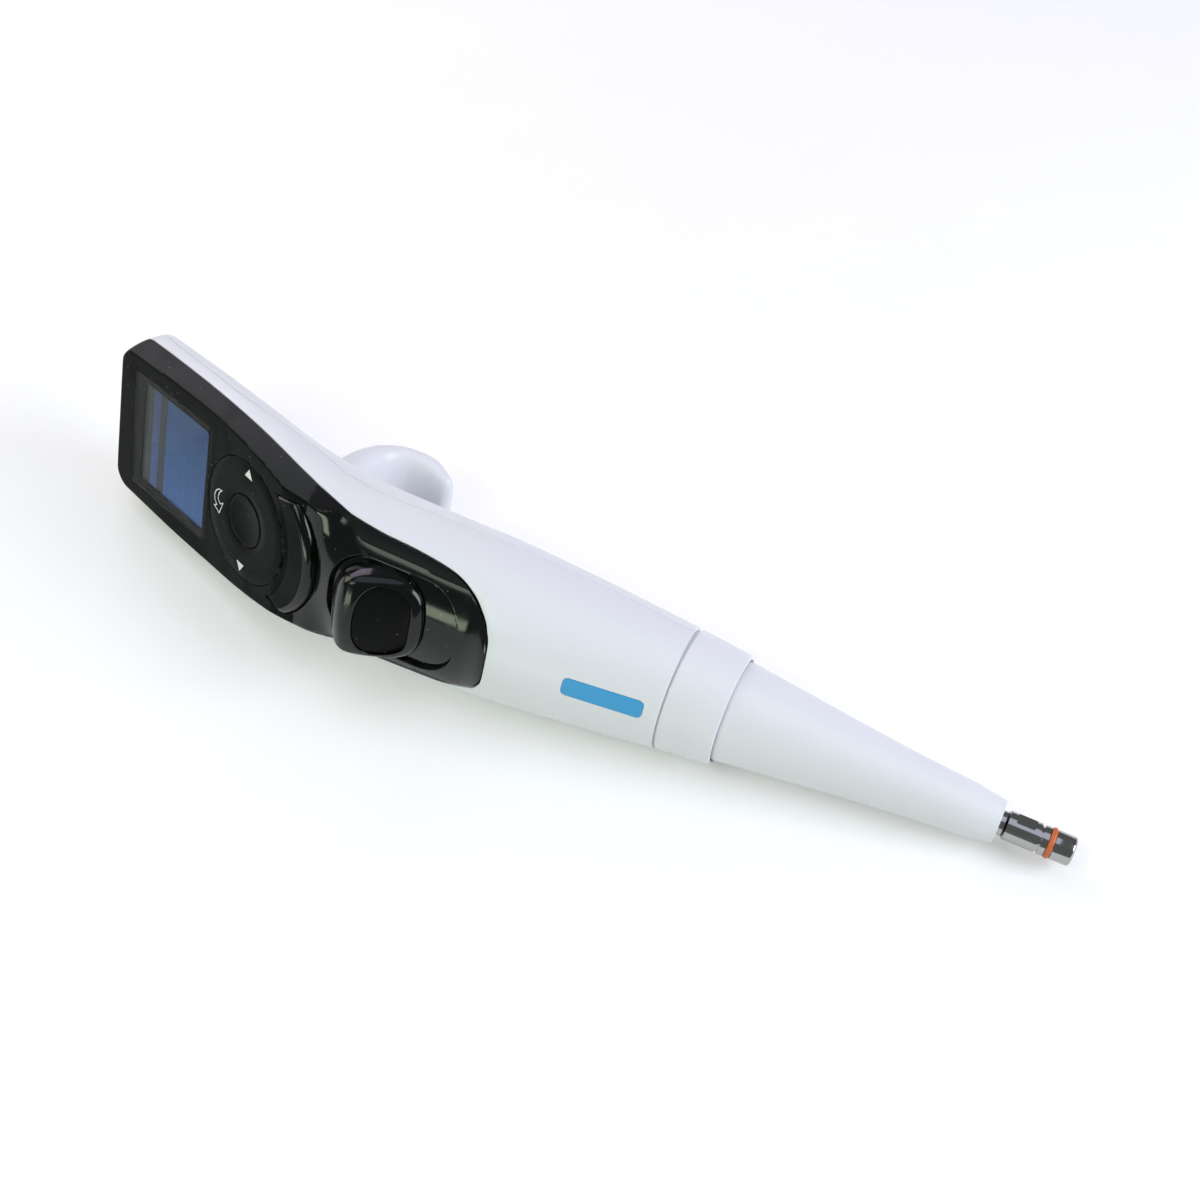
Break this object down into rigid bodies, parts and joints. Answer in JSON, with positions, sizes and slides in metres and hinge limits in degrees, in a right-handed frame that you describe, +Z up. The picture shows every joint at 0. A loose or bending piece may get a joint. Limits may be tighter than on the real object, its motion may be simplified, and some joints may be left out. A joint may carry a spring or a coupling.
{
  "type": "electronic pipette",
  "caption": "Handheld electronic pipette: white handle with finger hook, tilted dark display head with navigation wheel, sliding tip ejector, tapered sleeve and chrome tip fitting.",
  "frame": {"origin": "centre of the bounding box's bottom face, on the surface that the pipette lies on", "axes": "+X towards the nozzle's end, +Z up from the surface; the pipette lies on its left side, with the display towards -Y"},
  "size_m": [0.279, 0.0706, 0.0498],
  "materials": {
    "nozzle": "polished",
    "tip_seal": "satin",
    "ejector_sleeve": "satin",
    "collar": "satin",
    "front_shell": "satin",
    "rear_shell": "satin",
    "battery_cover": "satin",
    "front_panel": "semi-gloss",
    "display_window": "clear gloss",
    "lcd_module": "satin",
    "touch_wheel": "satin",
    "centre_button": "satin",
    "run_key": "gloss",
    "ejector_track": "gloss",
    "thumb_block": "gloss",
    "thumb_pad": "matte",
    "volume_label": "satin",
    "push_bar": "brushed",
    "return_spring": "drawn wire",
    "cylinder": "turned",
    "piston": "ground",
    "piston_seal": "waxy",
    "seal_retainer": "turned",
    "module_flange": "moulded",
    "piston_carriage": "moulded",
    "guide_rod_left": "ground",
    "guide_rod_right": "ground",
    "lead_screw": "rolled",
    "drive_motor": "satin",
    "chassis": "moulded",
    "keymat": "matte",
    "main_board": "solder mask",
    "battery": "film wrap"
  },
  "bodies": {
    "handle": {"nozzle": "nozzle", "tip_seal": "tip_seal", "collar": "collar", "front_shell": "front_shell", "rear_shell": "rear_shell", "battery_cover": "battery_cover", "front_panel": "front_panel", "display_window": "display_window", "lcd_module": "lcd_module", "ejector_track": "ejector_track", "volume_label": "volume_label", "return_spring": "return_spring", "cylinder": "cylinder", "piston_seal": "piston_seal", "seal_retainer": "seal_retainer", "module_flange": "module_flange", "guide_rod_left": "guide_rod_left", "guide_rod_right": "guide_rod_right", "drive_motor": "drive_motor", "chassis": "chassis", "keymat": "keymat", "main_board": "main_board", "battery": "battery"},
    "ejector": {"thumb_block": "thumb_block", "thumb_pad": "thumb_pad", "push_bar": "push_bar", "ejector_sleeve": "ejector_sleeve"},
    "piston_unit": {"piston": "piston", "piston_carriage": "piston_carriage", "lead_screw": "lead_screw"},
    "wheel": {"touch_wheel": "touch_wheel"},
    "button": {"centre_button": "centre_button"},
    "crescent_key": {"run_key": "run_key"}
  },
  "joints": [
    {"name": "ejector_slide", "type": "slide", "parent": "handle", "child": "ejector", "axis": [0.9954, 0, -0.0958], "range_m": [0, 0.008], "stiffness_N_per_m": 400, "springref_m": -0.01, "deforming": ["return_spring"]},
    {"name": "piston_slide", "type": "slide", "parent": "handle", "child": "piston_unit", "axis": [-0.9954, 0, 0.0958], "range_m": [0, 0.0215]},
    {"name": "wheel_press", "type": "slide", "parent": "handle", "child": "wheel", "axis": [0.4077, 0.8475, -0.3399], "range_m": [0, 0.0004], "stiffness_N_per_m": 3000, "springref_m": -0.0003},
    {"name": "button_press", "type": "slide", "parent": "handle", "child": "button", "axis": [0.4077, 0.8475, -0.3399], "range_m": [0, 0.0006], "stiffness_N_per_m": 2000, "springref_m": -0.0003},
    {"name": "run_key_press", "type": "slide", "parent": "handle", "child": "crescent_key", "axis": [0.4077, 0.8475, -0.3399], "range_m": [0, 0.0008], "stiffness_N_per_m": 1500, "springref_m": -0.0004}
  ]
}
